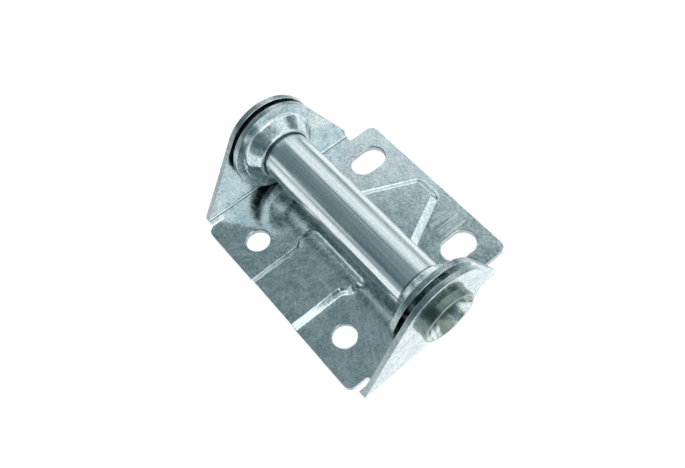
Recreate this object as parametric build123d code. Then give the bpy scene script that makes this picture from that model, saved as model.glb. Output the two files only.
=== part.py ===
from build123d import *
import math
import os

# Sectional door hinge, folded from zinc-plated strip, with a roller tube as its pivot.
# Frame: X runs along the pivot tube, Y across the joint between the two door sections,
# and Z stands off the door face, which is z = 0. The hinge is symmetric about x = 0.
# The outer leaf lies on -Y and the inner leaf on +Y.

SHEET = 1.9            # 14 gauge strip
BEND_IN = 0.8          # inside radius of the folds
BEND_OUT = 2.3         # outside radius of the folds
ROLL_OVER = 0.45       # rounding that shearing leaves on the upper rims of holes

PIVOT_Z = 17.2         # height of the pivot axis over the door face
EAR_R = 15.3           # rounded head of every ear, about the pivot axis
EAR_TOP = PIVOT_Z + EAR_R

# Outer leaf
OUTER_X = 41.1         # outer faces of its ears
OUTER_EDGE_Y = -32.2   # free edge of its plate
OUTER_SEAM_Y = -1.0    # edge along the door joint
OUTER_TOE_Y = -31.2    # where the sloping front of the ears meets the door face
TOE_R = 1.1
TONGUE_X = 36.5        # half width of the plate beyond the relief slits
TONGUE_CORNER_R = 2.4
SLIT_W = 1.9
SLIT_END_Y = -25.6
HOLE_X = 22.25         # round screw holes, 44.5 mm apart
HOLE_Y = -22.3
HOLE_R = 3.85

# Raised pad between the screw holes, open to the free edge, with a wider head
PAD_RISE = 2.1
PAD_BODY_X = 11.6
PAD_HEAD_X = 13.6
PAD_NECK_Y = -14.7
PAD_HEAD_Y = -6.5
PAD_CORNER_R = 2.8
PAD_NECK_STEP = 2.2
CREST_ROUND = 0.9      # rounding along the crests of both raised panels

# Inner leaf
INNER_X = 37.6         # outer faces of its ears
INNER_SEAM_Y = 1.0
INNER_EDGE_Y = 34.8
EAR_END_Y = 25.0       # where its ears end
EAR_SLOPE = 30.0       # direction, in degrees above Y, that the sloping ear edge faces
EAR_TIP_R = 1.0
FLAG_X = 33.2          # half width of the plate beyond the ears
FLAG_CORNER_R = 2.8
SLOT_X = 22.45         # slotted screw holes, long across the joint
SLOT_Y = 24.0
SLOT_LENGTH = 12.5
SLOT_WIDTH = 8.45

# Raised triangle between the slots
PRESS_RISE = 2.1
PRESS_BASE_X = 18.0
PRESS_BASE_Y = 5.0
PRESS_TIP_X = 4.6
PRESS_TIP_Y = 31.8
PRESS_CORNER_R = 3.2

# Collars drawn inward from the inner ears, in which the tube turns
TUBE_R = 8.0           # 5/8 in tube
RUN_CLEARANCE = 0.08
COLLAR_FOOT_R = 12.0
COLLAR_LIP_R = 9.1
COLLAR_LIP_X = 31.5
COLLAR_FOOT_ROUND = 1.5
COLLAR_LIP_ROUND = 0.8
COLLAR_ENTRY = 1.5
BORE_R = 5.8           # takes a 7/16 in roller stem

# Roller tube, with its ends flared over the outer ears
FLARE_ROOT_R = 8.9
FLARE_R = 9.25
FLARE_SHOULDER_X = 43.2
FLARE_CREST_R = 8.65
FLARE_CREST_X = 43.85
FLARE_MOUTH_R = 8.1
FLARE_MOUTH_X = 43.4
FLARE_THROAT_X = 38.6

os.makedirs("parts", exist_ok=True)


def tangent_on_head(y, direction):
    """Point where a line from (y, 0) touches the round head; direction is -1 on the -Y side."""
    reach = math.hypot(y, PIVOT_Z)
    to_foot = math.atan2(-PIVOT_Z, y)
    swing = math.acos(EAR_R / reach)
    angle = to_foot + direction * swing
    return (EAR_R * math.cos(angle), PIVOT_Z + EAR_R * math.sin(angle))


def channel(outer_x, y_from, y_to):
    """Plate with both ears turned up square, before any outline is cut."""
    corner = (Align.CENTER, Align.MIN, Align.MIN)
    block = Pos(0, y_from, 0) * Box(2 * outer_x, y_to - y_from, EAR_TOP, align=corner)
    room = Pos(0, y_from, SHEET) * Box(2 * (outer_x - SHEET), y_to - y_from, EAR_TOP, align=corner)
    body = block - room
    outside = body.edges().filter_by(Axis.Y).filter_by_position(Axis.Z, -0.01, 0.01)
    body = fillet(outside, BEND_OUT)
    inside = body.edges().filter_by(Axis.Y).filter_by_position(Axis.Z, SHEET - 0.01, SHEET + 0.01)
    return fillet(inside, BEND_IN)


def side_cutter(outline):
    """Outline drawn in the YZ plane, made wide enough to trim a whole leaf."""
    return extrude(Plane.YZ * outline, amount=OUTER_X + 5, both=True)


def plan_cutter(outline):
    """Outline drawn on the door face, made tall enough to trim a whole leaf."""
    return extrude(outline, amount=EAR_TOP + 5)


def press(outline, rise):
    """Raised panel with 45 degree flanks: the metal to add, and the hollow under it."""
    hump = Pos(0, 0, SHEET) * extrude(outline, amount=rise, taper=45)
    crest = hump.edges().filter_by_position(Axis.Z, SHEET + rise - 0.01, SHEET + rise + 0.01)
    hump = fillet(crest, CREST_ROUND)
    inset = offset(outline, amount=-SHEET * (math.sqrt(2) - 1))
    hollow = extrude(inset, amount=rise, taper=45)
    return hump, hollow


def ring(profile):
    """Solid turned about the pivot axis from a profile given as (x, radius)."""
    face = Pos(0, 0, PIVOT_Z) * (Plane.XZ * profile)
    return revolve(face, axis=Axis((0, 0, PIVOT_Z), (1, 0, 0)))


def both_ends(solid):
    return solid + mirror(solid, about=Plane.YZ)


def round_upper_rims(body, centres):
    """Round the upper rims of the screw holes at the given centres."""
    rims = ShapeList()
    for x, y in centres:
        for edge in body.edges().filter_by_position(Axis.Z, SHEET - 0.01, SHEET + 0.01):
            middle = edge.center(CenterOf.BOUNDING_BOX)
            if math.hypot(middle.X - x, middle.Y - y) < SLOT_LENGTH / 2:
                rims.append(edge)
    return fillet(rims, ROLL_OVER)


def outer_leaf():
    touch = tangent_on_head(OUTER_TOE_Y, -1)
    ear = Polygon((OUTER_TOE_Y, 0), (OUTER_SEAM_Y, 0), (0, PIVOT_Z), touch, align=None)
    toe = ear.vertices().sort_by(Axis.X)[0]
    ear = fillet(toe, TOE_R) + Pos(0, PIVOT_Z) * Circle(EAR_R)
    plate = Pos(0, OUTER_EDGE_Y, 0) * Box(
        2 * (TONGUE_X + SLIT_W), OUTER_SEAM_Y - OUTER_EDGE_Y, SHEET,
        align=(Align.CENTER, Align.MIN, Align.MIN))
    body = channel(OUTER_X, OUTER_EDGE_Y, EAR_R) & (side_cutter(ear) + plate)

    # Relief slits free the tongue of the plate from the toes of the ears.
    slit_length = SLIT_END_Y - OUTER_EDGE_Y + SLIT_W
    slit = Pos(TONGUE_X + SLIT_W / 2, SLIT_END_Y - slit_length / 2 + SLIT_W / 4) * SlotOverall(
        slit_length, SLIT_W, rotation=90)
    mouth = Pos(TONGUE_X, OUTER_EDGE_Y - 1) * Rectangle(
        SLIT_W, 1 + SLIT_END_Y - OUTER_EDGE_Y - SLIT_W, align=(Align.MIN, Align.MIN))
    body -= both_ends(plan_cutter(slit + mouth))

    # Outer corners of the tongue
    corner = Pos(TONGUE_X, OUTER_EDGE_Y) * Rectangle(
        2 * TONGUE_CORNER_R, 2 * TONGUE_CORNER_R)
    heel = Pos(TONGUE_X - TONGUE_CORNER_R, OUTER_EDGE_Y + TONGUE_CORNER_R) * Circle(TONGUE_CORNER_R)
    inner_part = Pos(TONGUE_X - TONGUE_CORNER_R, OUTER_EDGE_Y) * Rectangle(
        TONGUE_CORNER_R, TONGUE_CORNER_R, align=(Align.MIN, Align.MIN))
    body -= both_ends(extrude((corner & inner_part) - heel, amount=SHEET + 0.5))

    beyond = OUTER_EDGE_Y - 6
    pad = Polygon(
        (-PAD_BODY_X, beyond), (PAD_BODY_X, beyond), (PAD_BODY_X, PAD_NECK_Y),
        (PAD_HEAD_X, PAD_NECK_Y + PAD_NECK_STEP), (PAD_HEAD_X, PAD_HEAD_Y), (-PAD_HEAD_X, PAD_HEAD_Y),
        (-PAD_HEAD_X, PAD_NECK_Y + PAD_NECK_STEP), (-PAD_BODY_X, PAD_NECK_Y), align=None)
    head_corners = pad.vertices().sort_by(Axis.Y)[-2:]
    pad = fillet(head_corners, PAD_CORNER_R)
    hump, hollow = press(pad, PAD_RISE)
    lane = Pos(0, OUTER_EDGE_Y, 0) * Box(
        2 * TONGUE_X, -OUTER_EDGE_Y, EAR_TOP, align=(Align.CENTER, Align.MIN, Align.MIN))
    body = body + (hump & lane) - hollow

    hole = Pos(HOLE_X, HOLE_Y) * Circle(HOLE_R)
    body -= both_ends(plan_cutter(hole))
    body -= Pos(0, 0, PIVOT_Z) * Rot(0, 90, 0) * Cylinder(TUBE_R, 2 * OUTER_X + 2)
    return round_upper_rims(body, [(HOLE_X, HOLE_Y), (-HOLE_X, HOLE_Y)])


def inner_leaf():
    faces = math.radians(EAR_SLOPE)
    touch = (EAR_R * math.cos(faces), PIVOT_Z + EAR_R * math.sin(faces))
    tip_z = touch[1] - (EAR_END_Y - touch[0]) / math.tan(faces)
    ear = Polygon((INNER_SEAM_Y, 0), (EAR_END_Y, 0), (EAR_END_Y, tip_z), touch, (0, PIVOT_Z),
                  align=None)
    tip = ear.vertices().sort_by(Axis.X)[-2:].sort_by(Axis.Y)[-1]
    ear = fillet(tip, EAR_TIP_R) + Pos(0, PIVOT_Z) * Circle(EAR_R)
    plate = Pos(0, INNER_SEAM_Y, 0) * Box(
        2 * FLAG_X, INNER_EDGE_Y - INNER_SEAM_Y, SHEET, align=(Align.CENTER, Align.MIN, Align.MIN))
    body = channel(INNER_X, -EAR_R, INNER_EDGE_Y) & (side_cutter(ear) + plate)

    # Beyond the ears the plate narrows, with rounded corners.
    flag = Pos(0, EAR_END_Y - 5) * Rectangle(
        2 * FLAG_X, INNER_EDGE_Y - EAR_END_Y + 5, align=(Align.CENTER, Align.MIN))
    flag = fillet(flag.vertices().sort_by(Axis.Y)[-2:], FLAG_CORNER_R)
    wide = Pos(0, -EAR_R - 1) * Rectangle(
        2 * INNER_X + 2, EAR_R + 1 + EAR_END_Y, align=(Align.CENTER, Align.MIN))
    body &= plan_cutter(flag + wide)

    triangle = Polygon(
        (-PRESS_BASE_X, PRESS_BASE_Y), (PRESS_BASE_X, PRESS_BASE_Y),
        (PRESS_TIP_X, PRESS_TIP_Y), (-PRESS_TIP_X, PRESS_TIP_Y), align=None)
    hump, hollow = press(fillet(triangle.vertices(), PRESS_CORNER_R), PRESS_RISE)
    body = body + hump - hollow

    slot = Pos(SLOT_X, SLOT_Y) * SlotOverall(SLOT_LENGTH, SLOT_WIDTH, rotation=90)
    body -= both_ends(plan_cutter(slot))

    inner_face = INNER_X - SHEET
    collar = make_face(Polyline(
        (inner_face + 0.5, 0), (inner_face + 0.5, COLLAR_FOOT_R + 2), (inner_face, COLLAR_FOOT_R + 2),
        (inner_face, COLLAR_FOOT_R), (COLLAR_LIP_X, COLLAR_LIP_R), (COLLAR_LIP_X, 0),
        (inner_face + 0.5, 0)))
    foot = collar.vertices().sort_by_distance((inner_face, COLLAR_FOOT_R))[0]
    collar = fillet(foot, COLLAR_FOOT_ROUND)
    lip = collar.vertices().sort_by_distance((COLLAR_LIP_X, COLLAR_LIP_R))[0]
    collar = fillet(lip, COLLAR_LIP_ROUND)
    body += both_ends(ring(collar))

    bore_r = TUBE_R + RUN_CLEARANCE
    entry_x = INNER_X - COLLAR_ENTRY
    bore = make_face(
        Polyline((INNER_X + 1, bore_r + COLLAR_ENTRY), (INNER_X + 1, 0), (COLLAR_LIP_X - 1, 0),
                 (COLLAR_LIP_X - 1, bore_r), (entry_x, bore_r))
        + RadiusArc((entry_x, bore_r), (INNER_X, bore_r + COLLAR_ENTRY), -COLLAR_ENTRY)
        + Line((INNER_X, bore_r + COLLAR_ENTRY), (INNER_X + 1, bore_r + COLLAR_ENTRY)))
    body -= both_ends(ring(bore))
    return round_upper_rims(body, [(SLOT_X, SLOT_Y), (-SLOT_X, SLOT_Y)])


def roller_tube():
    crest = (FLARE_CREST_X, FLARE_CREST_R)
    mouth = (FLARE_MOUTH_X, FLARE_MOUTH_R)
    throat = (FLARE_THROAT_X, BORE_R)
    belly = ((FLARE_MOUTH_X + FLARE_THROAT_X) / 2, (FLARE_MOUTH_R + BORE_R) / 2 - 0.35)
    half = make_face(
        Polyline((0, BORE_R), (0, TUBE_R), (OUTER_X, TUBE_R), (OUTER_X, FLARE_ROOT_R),
                 (FLARE_SHOULDER_X, FLARE_R))
        + TangentArc((FLARE_SHOULDER_X, FLARE_R), crest,
                     tangent=(FLARE_SHOULDER_X - OUTER_X, FLARE_R - FLARE_ROOT_R))
        + TangentArc(mouth, crest, tangent=(0.55, 0.25))
        + ThreePointArc(mouth, belly, throat)
        + Line(throat, (0, BORE_R)))
    return both_ends(ring(half))


for name, leaf in (("outer_leaf", outer_leaf()), ("inner_leaf", inner_leaf()),
                   ("roller_tube", roller_tube())):
    export_step(leaf, f"parts/{name}.step")
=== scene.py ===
import math

import bmesh
import bpy
from mathutils import Matrix, Vector


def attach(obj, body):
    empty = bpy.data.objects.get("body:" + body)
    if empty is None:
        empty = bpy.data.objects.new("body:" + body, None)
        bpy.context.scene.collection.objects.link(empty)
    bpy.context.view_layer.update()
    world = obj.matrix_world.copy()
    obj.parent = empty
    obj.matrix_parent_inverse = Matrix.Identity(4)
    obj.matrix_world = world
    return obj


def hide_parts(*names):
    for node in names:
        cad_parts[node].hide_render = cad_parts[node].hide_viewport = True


# Zinc-plated door hinge: two folded leaves that turn on a flared roller tube. The tube runs
# along X, the outer leaf lies on -Y, the inner leaf on +Y, and the door face is z = 0.
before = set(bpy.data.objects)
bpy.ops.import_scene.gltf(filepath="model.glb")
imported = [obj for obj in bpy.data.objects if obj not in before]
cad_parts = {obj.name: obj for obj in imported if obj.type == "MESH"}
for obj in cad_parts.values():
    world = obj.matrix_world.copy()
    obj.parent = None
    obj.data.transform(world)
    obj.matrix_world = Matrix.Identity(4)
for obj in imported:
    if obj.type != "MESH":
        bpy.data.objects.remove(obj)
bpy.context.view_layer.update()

MM = 0.001
PIVOT_Z = 17.2 * MM          # height of the tube's axis
PLATE_TOP = 1.95 * MM        # just over the strip's thickness
HOLE_X = 22.25 * MM          # round screw holes in the outer leaf
SLOT_X = 22.45 * MM          # slotted screw holes in the inner leaf


# ---------------------------------------------------------------- camera
def aim_camera():
    """Camera above the near end of the tube, on the outer leaf's side."""
    azimuth = math.radians(-36.766)
    elevation = math.radians(64.951)
    roll = math.radians(-4.899)
    distance = 206.337 * MM
    target = Vector((22.191, 1.620, -9.217)) * MM
    away = Vector((math.cos(elevation) * math.cos(azimuth),
                   math.cos(elevation) * math.sin(azimuth), math.sin(elevation)))
    right = (-away).cross(Vector((0, 0, 1))).normalized()
    up = right.cross(-away)
    x_axis = math.cos(roll) * right + math.sin(roll) * up
    y_axis = away.cross(x_axis)
    turn = Matrix((x_axis, y_axis, away)).transposed().to_4x4()
    data = bpy.data.cameras.new("camera")
    data.sensor_width = 36
    data.lens = 33.61
    data.shift_x = -0.0932
    data.shift_y = 0.1001
    data.clip_start = 0.01
    data.clip_end = 20
    camera = bpy.data.objects.new("camera", data)
    camera.matrix_world = Matrix.Translation(target + away * distance) @ turn
    bpy.context.scene.collection.objects.link(camera)
    bpy.context.scene.camera = camera


aim_camera()
bpy.context.scene.view_settings.view_transform = "Standard"


# ---------------------------------------------------------------- node helpers
MIX_A, MIX_B, MIX_RESULT = 6, 7, 2     # colour sockets of the mix node


class Graph:
    """A node tree, with short calls that add a node and wire it."""

    def __init__(self, tree):
        self.tree = tree

    def put(self, socket, value):
        """Wires another node's output into the socket, or sets a plain value on it."""
        if isinstance(value, bpy.types.NodeSocket):
            self.tree.links.new(value, socket)
        else:
            socket.default_value = value

    def add(self, kind, **inputs):
        node = self.tree.nodes.new(kind)
        for name, value in inputs.items():
            self.put(node.inputs[name], value)
        return node

    def math(self, operation, first, second=0.0):
        node = self.add("ShaderNodeMath")
        node.operation = operation
        self.put(node.inputs[0], first)
        self.put(node.inputs[1], second)
        return node.outputs["Value"]

    def total(self, first, *others):
        for other in others:
            first = self.math("ADD", first, other)
        return first

    def product(self, first, *others):
        for other in others:
            first = self.math("MULTIPLY", first, other)
        return first

    def span(self, value, low, high, to_low, to_high, smooth=False):
        """Maps low..high onto to_low..to_high, and holds the end values outside."""
        node = self.add("ShaderNodeMapRange")
        node.interpolation_type = "SMOOTHSTEP" if smooth else "LINEAR"
        ends = {"Value": value, "From Min": low, "From Max": high, "To Min": to_low, "To Max": to_high}
        for name, item in ends.items():
            self.put(node.inputs[name], item)
        return node.outputs["Result"]

    def mixed(self, blend, amount, first, second):
        """Mixes two colours, each given as an output or as three numbers."""
        node = self.add("ShaderNodeMix")
        node.data_type = "RGBA"
        node.blend_type = blend
        self.put(node.inputs[0], amount)
        for index, colour in ((MIX_A, first), (MIX_B, second)):
            self.put(node.inputs[index], (*colour, 1) if isinstance(colour, tuple) else colour)
        return node.outputs[MIX_RESULT]


class Material(Graph):
    """A material whose patterns lie in the part's own coordinates, in metres."""

    def __init__(self, name):
        self.material = bpy.data.materials.new(name)
        self.material.use_nodes = True
        super().__init__(self.material.node_tree)
        self.shader = self.tree.nodes["Principled BSDF"]
        self.place = self.add("ShaderNodeTexCoord").outputs["Object"]

    def stretched(self, x, y, z):
        return self.add("ShaderNodeMapping", Vector=self.place, Scale=(x, y, z)).outputs["Vector"]

    def shifted(self, x, y, z):
        return self.add("ShaderNodeMapping", Vector=self.place, Location=(x, y, z)).outputs["Vector"]

    def noise(self, place, scale, detail, rough):
        node = self.add("ShaderNodeTexNoise", Vector=place, Scale=scale, Detail=detail, Roughness=rough)
        return node.outputs["Fac"]

    def bump(self, depth, height, over=None):
        node = self.add("ShaderNodeBump", Strength=1.0, Distance=depth, Height=height)
        if over:
            self.put(node.inputs["Normal"], over)
        return node.outputs["Normal"]

    def as_metal(self, colour, rough, normal):
        self.shader.inputs["Metallic"].default_value = 1.0
        self.put(self.shader.inputs["Base Color"], colour)
        self.put(self.shader.inputs["Roughness"], rough)
        self.put(self.shader.inputs["Normal"], normal)
        return self.material


# ---------------------------------------------------------------- materials
LEAF_ZINC = (0.33, 0.44, 0.475), (0.87, 0.905, 0.90)     # darkest and lightest plating
# cut edges: duller cut metal, and darker with painted shade standing in for shadowed hole walls and dark
# reflections on the ear rims
SHEAR_ZINC_AND_SHADE = (0.24, 0.30, 0.32), (0.56, 0.62, 0.63)
TUBE_ZINC = (0.50, 0.58, 0.60), (0.88, 0.92, 0.92)
CLEAN = (1.0, 1.0, 1.0)
# painted shade for the inside of the bore and dark painted reflections in the mouth of the flare
PAINTED_BORE_SHADE = (0.24, 0.27, 0.24)
# darker tint for the flared ends of the tube
FLARE_DARKER = (0.36, 0.40, 0.35)
# painted shade for the gap where each collar's lip meets the tube
PAINTED_LIP_SHADE = (0.22, 0.26, 0.28)
RUB_SPOT = (14 * MM, 27 * MM, 5 * MM, 6 * MM)            # x, y and half widths of the rubbed patch


def rub_marks(m, x, y, half_x, half_y):
    """Fine scratches along Y, fading out around one spot."""
    parts = m.add("ShaderNodeSeparateXYZ", Vector=m.place)
    off_x = m.math("ABSOLUTE", m.math("SUBTRACT", parts.outputs["X"], x))
    off_y = m.math("ABSOLUTE", m.math("SUBTRACT", parts.outputs["Y"], y))
    inside = m.product(m.span(off_x, half_x * 0.6, half_x, 1.0, 0.0, smooth=True),
                       m.span(off_y, half_y * 0.6, half_y, 1.0, 0.0, smooth=True))
    lines = m.noise(m.stretched(2600, 60, 60), 1.0, 2, 0.5)
    return m.product(inside, m.span(lines, 0.42, 0.58, -0.35, 0.55))


def zinc_leaf(name, shift, rub=None):
    """Bright zinc on rolled strip: sandy grain, cloudy patches, faint waves, perhaps a rubbed spot."""
    m = Material(name)
    place = m.shifted(shift, shift * 0.7, shift * 0.3)
    grain = m.noise(place, 2000, 2, 0.6)
    speck = m.noise(place, 950, 2, 0.5)
    cloud = m.noise(place, 230, 4, 0.65)
    wave = m.noise(place, 45, 1, 0.4)
    tone = m.total(m.span(grain, 0.38, 0.62, 0.0, 0.4), m.span(speck, 0.38, 0.62, 0.0, 0.3),
                   m.span(cloud, 0.4, 0.6, 0.0, 0.3))
    if rub:
        tone = m.total(tone, rub_marks(m, *rub))
    rough = m.total(m.span(cloud, 0.3, 0.7, 0.10, 0.20), m.span(speck, 0.35, 0.7, -0.03, 0.07))
    fine = m.bump(0.012 * MM, grain)
    middle = m.bump(0.02 * MM, speck, over=fine)
    broad = m.bump(0.24 * MM, wave, over=middle)
    return m.as_metal(m.mixed("MIX", tone, *LEAF_ZINC), rough, broad)


def zinc_shear_and_shade(name):
    """Zinc over a sheared edge: duller and rougher than the faces, and darker with painted shade for the
    shadowed hole walls and rims.
    """
    m = Material(name)
    grain = m.noise(m.place, 1300, 3, 0.6)
    cloud = m.noise(m.place, 260, 3, 0.6)
    tone = m.total(m.span(grain, 0.35, 0.65, 0.0, 0.6), m.span(cloud, 0.35, 0.65, 0.0, 0.4))
    rough = m.span(cloud, 0.3, 0.7, 0.26, 0.4)
    return m.as_metal(m.mixed("MIX", tone, *SHEAR_ZINC_AND_SHADE), rough, m.bump(0.03 * MM, grain))


def tube_painted_shade(m):
    """Tint with painted shade: it darkens the bore as painted shade, adds dark patches of painted
    reflection in the flared mouth, darkens the flared ends, and darkens a ring at each collar's lip as
    painted shade where the collar meets the tube.
    """
    parts = m.add("ShaderNodeSeparateXYZ", Vector=m.place)
    length = m.math("ABSOLUTE", parts.outputs["X"])
    across = parts.outputs["Y"]
    lift = m.math("SUBTRACT", parts.outputs["Z"], PIVOT_Z)
    radius = m.math("SQRT", m.total(m.product(lift, lift), m.product(across, across)))

    # painted shade inside the bore, and dark patches of painted reflection in the flared mouth
    bore = m.span(radius, 6.0 * MM, 7.4 * MM, 1.0, 0.0, smooth=True)
    painted_reflection_patches = m.span(m.noise(m.shifted(20 * MM, 0, 0), 230, 2, 0.5), 0.42, 0.56, 0.0, 1.0)
    mouth = m.product(m.span(length, 38.4 * MM, 38.8 * MM, 0.0, 1.0),
                      m.span(radius, 8.3 * MM, 8.6 * MM, 1.0, 0.0))
    painted_bore_shade = m.math("MAXIMUM", m.product(painted_reflection_patches, mouth), bore)
    # darker over the flared end outside each ear
    flare = m.product(m.span(radius, 8.3 * MM, 8.8 * MM, 0.0, 1.0),
                      m.span(length, 38.8 * MM, 40.5 * MM, 0.0, 1.0, smooth=True))
    # a ring of painted shade on the tube where it goes into each collar's lip
    painted_lip_shade = m.product(m.span(length, 30.4 * MM, 31.0 * MM, 0.0, 1.0, smooth=True),
                     m.span(length, 33 * MM, 34 * MM, 1.0, 0.0))

    tint = m.mixed("MIX", painted_bore_shade, CLEAN, PAINTED_BORE_SHADE)
    tint = m.mixed("MULTIPLY", 1.0, tint, m.mixed("MIX", flare, CLEAN, FLARE_DARKER))
    return m.mixed("MULTIPLY", 1.0, tint, m.mixed("MIX", painted_lip_shade, CLEAN, PAINTED_LIP_SHADE))


def zinc_tube(name):
    """Bright zinc on drawn tube, with draw lines along it."""
    m = Material(name)
    lines = m.noise(m.stretched(18, 1500, 1500), 1.0, 3, 0.6)
    broad_lines = m.noise(m.stretched(7, 520, 520), 1.0, 2, 0.5)
    grain = m.noise(m.place, 1900, 2, 0.6)
    cloud = m.noise(m.place, 120, 3, 0.6)
    tone = m.total(m.span(lines, 0.3, 0.7, 0.0, 0.6), m.span(grain, 0.35, 0.65, 0.0, 0.4))
    colour = m.mixed("MULTIPLY", 1.0, m.mixed("MIX", tone, *TUBE_ZINC), tube_painted_shade(m))
    rough = m.total(m.span(cloud, 0.3, 0.7, 0.12, 0.22), m.span(lines, 0.3, 0.7, 0.0, 0.1))
    fine = m.bump(0.03 * MM, lines)
    broad = m.bump(0.09 * MM, broad_lines, over=fine)
    return m.as_metal(colour, rough, broad)


# ---------------------------------------------------------------- pieces
EDGE_ROLL = 0.26 * MM        # how far a sheared edge is rolled over
PRESS_ROLL = 0.85 * MM       # width of the soft bends round a pressed panel
CUT_SNAP = 0.06 * MM         # corners this close to a cut stay on it
WELD = 0.001 * MM
TOE_X = 36.4 * MM            # the ears' small toes, outside TOE_X and under TOE_Z, keep their edges
TOE_Z = 2.6 * MM
EAR_FOOT = 3.0 * MM          # the ears are outside EAR_X and over EAR_FOOT
EAR_X = 35.6 * MM
FLAT_ANGLE = math.radians(0.6)
SMOOTH_ANGLE = math.radians(30)
PRESSED = (38, 72)           # degrees between the faces at a panel's foot or neck
SHEARED = (72, 180)          # degrees between the faces at a cut edge


def merge_flats(solid, cuts):
    """Merges flat triangles, but keeps an edge along each cut, so no merged face holds a hole."""
    for point, normal in cuts:
        everything = solid.verts[:] + solid.edges[:] + solid.faces[:]
        bmesh.ops.bisect_plane(solid, geom=everything, plane_co=point, plane_no=normal, dist=CUT_SNAP)
    loose = [edge for edge in solid.edges
             if not any(all(abs((vert.co - point).dot(normal)) < CUT_SNAP for vert in edge.verts)
                        for point, normal in cuts)]
    bmesh.ops.dissolve_limit(solid, angle_limit=FLAT_ANGLE, verts=solid.verts, edges=loose)


def roll_over(solid, bend, width):
    """Rounds the edges whose faces meet at an angle in the given range, off the toes."""
    low, high = (math.radians(angle) for angle in bend)
    sharp = [edge for edge in solid.edges
             if low < edge.calc_face_angle(0) <= high
             and not all(abs(vert.co.x) > TOE_X and vert.co.z < TOE_Z for vert in edge.verts)]
    bmesh.ops.bevel(solid, geom=sharp, offset=width, offset_type="OFFSET", segments=3, profile=0.5,
                    affect="EDGES", clamp_overlap=False, loop_slide=True)


def is_sheared(face):
    """True for the cut edges of the strip: round the plate and its holes, and round the ears."""
    middle = face.calc_center_median()
    on_plate = middle.z < PLATE_TOP and abs(face.normal.z) < 0.4
    on_ear = middle.z > EAR_FOOT and abs(middle.x) > EAR_X and abs(face.normal.x) < 0.4
    return (on_plate and abs(middle.x) < TOE_X) or on_ear


def softened(node, body, hole_x, material, edge_material):
    """The CAD node's own shape with every sharp edge rolled over, shown in its place."""
    solid = bmesh.new()
    solid.from_mesh(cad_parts[node].data)
    bmesh.ops.remove_doubles(solid, verts=solid.verts, dist=WELD)
    cuts = [(Vector((hole_x, 0, 0)), Vector((1, 0, 0))), (Vector((-hole_x, 0, 0)), Vector((1, 0, 0))),
            (Vector((0, 0, PIVOT_Z)), Vector((0, 0, 1)))]
    merge_flats(solid, cuts)
    roll_over(solid, PRESSED, PRESS_ROLL)
    roll_over(solid, SHEARED, EDGE_ROLL)
    bmesh.ops.remove_doubles(solid, verts=solid.verts, dist=WELD)
    for face in solid.faces:
        face.smooth = True
        face.material_index = 1 if is_sheared(face) else 0
    for edge in solid.edges:
        edge.smooth = edge.calc_face_angle(0) < SMOOTH_ANGLE
    mesh = bpy.data.meshes.new(node + "_soft")
    solid.to_mesh(mesh)
    solid.free()
    mesh.materials.append(material)
    mesh.materials.append(edge_material)
    piece = bpy.data.objects.new(node + "_soft", mesh)
    bpy.context.scene.collection.objects.link(piece)
    weighted = piece.modifiers.new("weighted_normals", "WEIGHTED_NORMAL")
    weighted.keep_sharp = True
    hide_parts(node)
    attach(piece, body)


def dress(node, material):
    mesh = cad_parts[node].data
    mesh.materials.clear()
    mesh.materials.append(material)


# the cut edges get the darker zinc that carries painted shade
edge_zinc_with_shade = zinc_shear_and_shade("zinc_shear_and_shade")
softened("outer_leaf", "fixed_leaf", HOLE_X, zinc_leaf("zinc_outer", 0.0), edge_zinc_with_shade)
softened("inner_leaf", "swing_leaf", SLOT_X, zinc_leaf("zinc_inner", 0.31, RUB_SPOT), edge_zinc_with_shade)
dress("roller_tube", zinc_tube("zinc_tube"))


# ---------------------------------------------------------------- floor and light
FLOOR_SIZE = 12
FLOOR_Z = -0.1 * MM
GLOW_SHIFT = (35 * MM, -25 * MM, 0)    # moves the floor's brightest area to just behind the hinge

# Sky colours by the sine of the height over the horizon
SKY = ((0.0, (0.34, 0.40, 0.41)), (0.15, (0.30, 0.38, 0.40)), (0.35, (0.13, 0.19, 0.21)),
       (0.75, (0.17, 0.24, 0.265)), (0.9, (0.24, 0.32, 0.34)), (1.0, (0.34, 0.42, 0.44)))


def add_floor():
    """Pale floor, evenly lit around the hinge, that fades into the backdrop far out."""
    bpy.ops.mesh.primitive_plane_add(size=FLOOR_SIZE, location=(0, 0, FLOOR_Z))
    floor = bpy.context.object
    floor.name = "floor"
    m = Material("floor")
    reach = m.add("ShaderNodeVectorMath")
    reach.operation = "LENGTH"
    m.put(reach.inputs[0], m.shifted(*GLOW_SHIFT))
    near_glow = m.span(reach.outputs["Value"], 0.15, 0.42, 0.9, 0.42, smooth=True)
    far_fade = m.span(reach.outputs["Value"], 0.4, 2.5, 1.0, 0.4, smooth=True)
    m.shader.inputs["Base Color"].default_value = (0.5, 0.5, 0.5, 1)
    m.shader.inputs["Roughness"].default_value = 0.9
    m.shader.inputs["Specular IOR Level"].default_value = 0.0
    m.shader.inputs["Emission Color"].default_value = (1, 1, 1, 1)
    m.put(m.shader.inputs["Emission Strength"], m.product(near_glow, far_fade))
    floor.data.materials.append(m.material)


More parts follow.
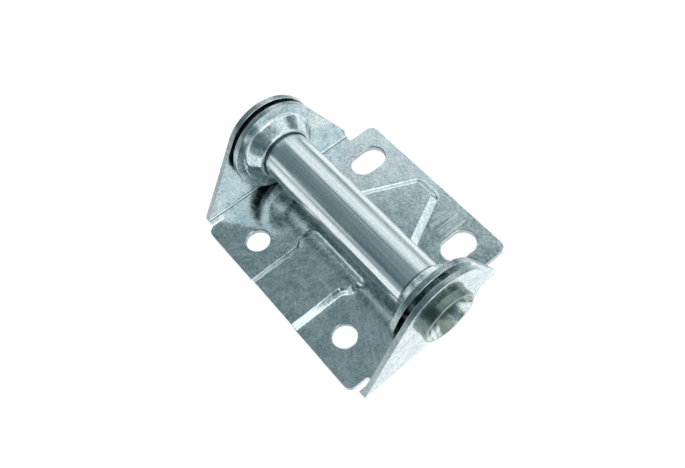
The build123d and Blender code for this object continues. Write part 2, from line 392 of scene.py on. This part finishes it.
class Studio(Graph):
    """Soft light from all round: a dim sky with soft boxes painted on it by direction."""

    def __init__(self):
        self.world = bpy.data.worlds.new("studio")
        self.world.use_nodes = True
        super().__init__(self.world.node_tree)
        self.way = self.add("ShaderNodeTexCoord").outputs["Generated"]

    def along(self, axis):
        node = self.add("ShaderNodeVectorMath")
        node.operation = "DOT_PRODUCT"
        self.put(node.inputs[0], self.way)
        self.put(node.inputs[1], axis)
        return node.outputs["Value"]

    def window(self, value, half, soft):
        """1 inside half an angle either side of the middle, falling to 0 over the soft edge."""
        inner = math.sin(math.radians(half))
        outer = math.sin(math.radians(half + soft))
        return self.span(self.math("ABSOLUTE", value), inner, outer, 1.0, 0.0, smooth=True)

    def box(self, azimuth, elevation, width, height, soft, strength):
        """A soft box, with its place, size and soft edge in degrees as seen from the hinge."""
        turn = math.radians(azimuth)
        rise = math.radians(elevation)
        ahead = Vector((math.cos(rise) * math.cos(turn), math.cos(rise) * math.sin(turn), math.sin(rise)))
        side = Vector((-math.sin(turn), math.cos(turn), 0))
        in_front = self.math("GREATER_THAN", self.along(ahead), 0.0)
        across = self.window(self.along(side), width / 2, soft)
        upright = self.window(self.along(ahead.cross(side)), height / 2, soft)
        return self.product(across, upright, in_front, strength)

    def sky(self, stops):
        ramp = self.add("ShaderNodeValToRGB", Fac=self.along((0, 0, 1)))
        elements = ramp.color_ramp.elements
        while len(elements) < len(stops):
            elements.new(0.5)
        for element, (position, colour) in zip(elements, stops):
            element.position = position
            element.color = (*colour, 1)
        return ramp.outputs["Color"]

    def light(self, sky, boxes):
        strength = self.total(*boxes)
        white = self.add("ShaderNodeCombineColor", Red=strength, Green=strength, Blue=strength)
        colour = self.mixed("ADD", 1.0, sky, white.outputs["Color"])
        self.put(self.tree.nodes["Background"].inputs["Color"], colour)
        bpy.context.scene.world = self.world


add_floor()
studio = Studio()
far_side = studio.box(azimuth=124, elevation=36, width=36, height=26, soft=14, strength=0.85)
near_end = studio.box(azimuth=28, elevation=33, width=58, height=38, soft=12, strength=1.05)
end_fill = studio.box(azimuth=4, elevation=30, width=26, height=40, soft=10, strength=0.35)
far_end = studio.box(azimuth=166, elevation=20, width=34, height=24, soft=9, strength=0.9)
streak = studio.box(azimuth=-140, elevation=13, width=36, height=4, soft=3, strength=1.3)
studio.light(studio.sky(SKY), (far_side, near_end, end_fill, far_end, streak))
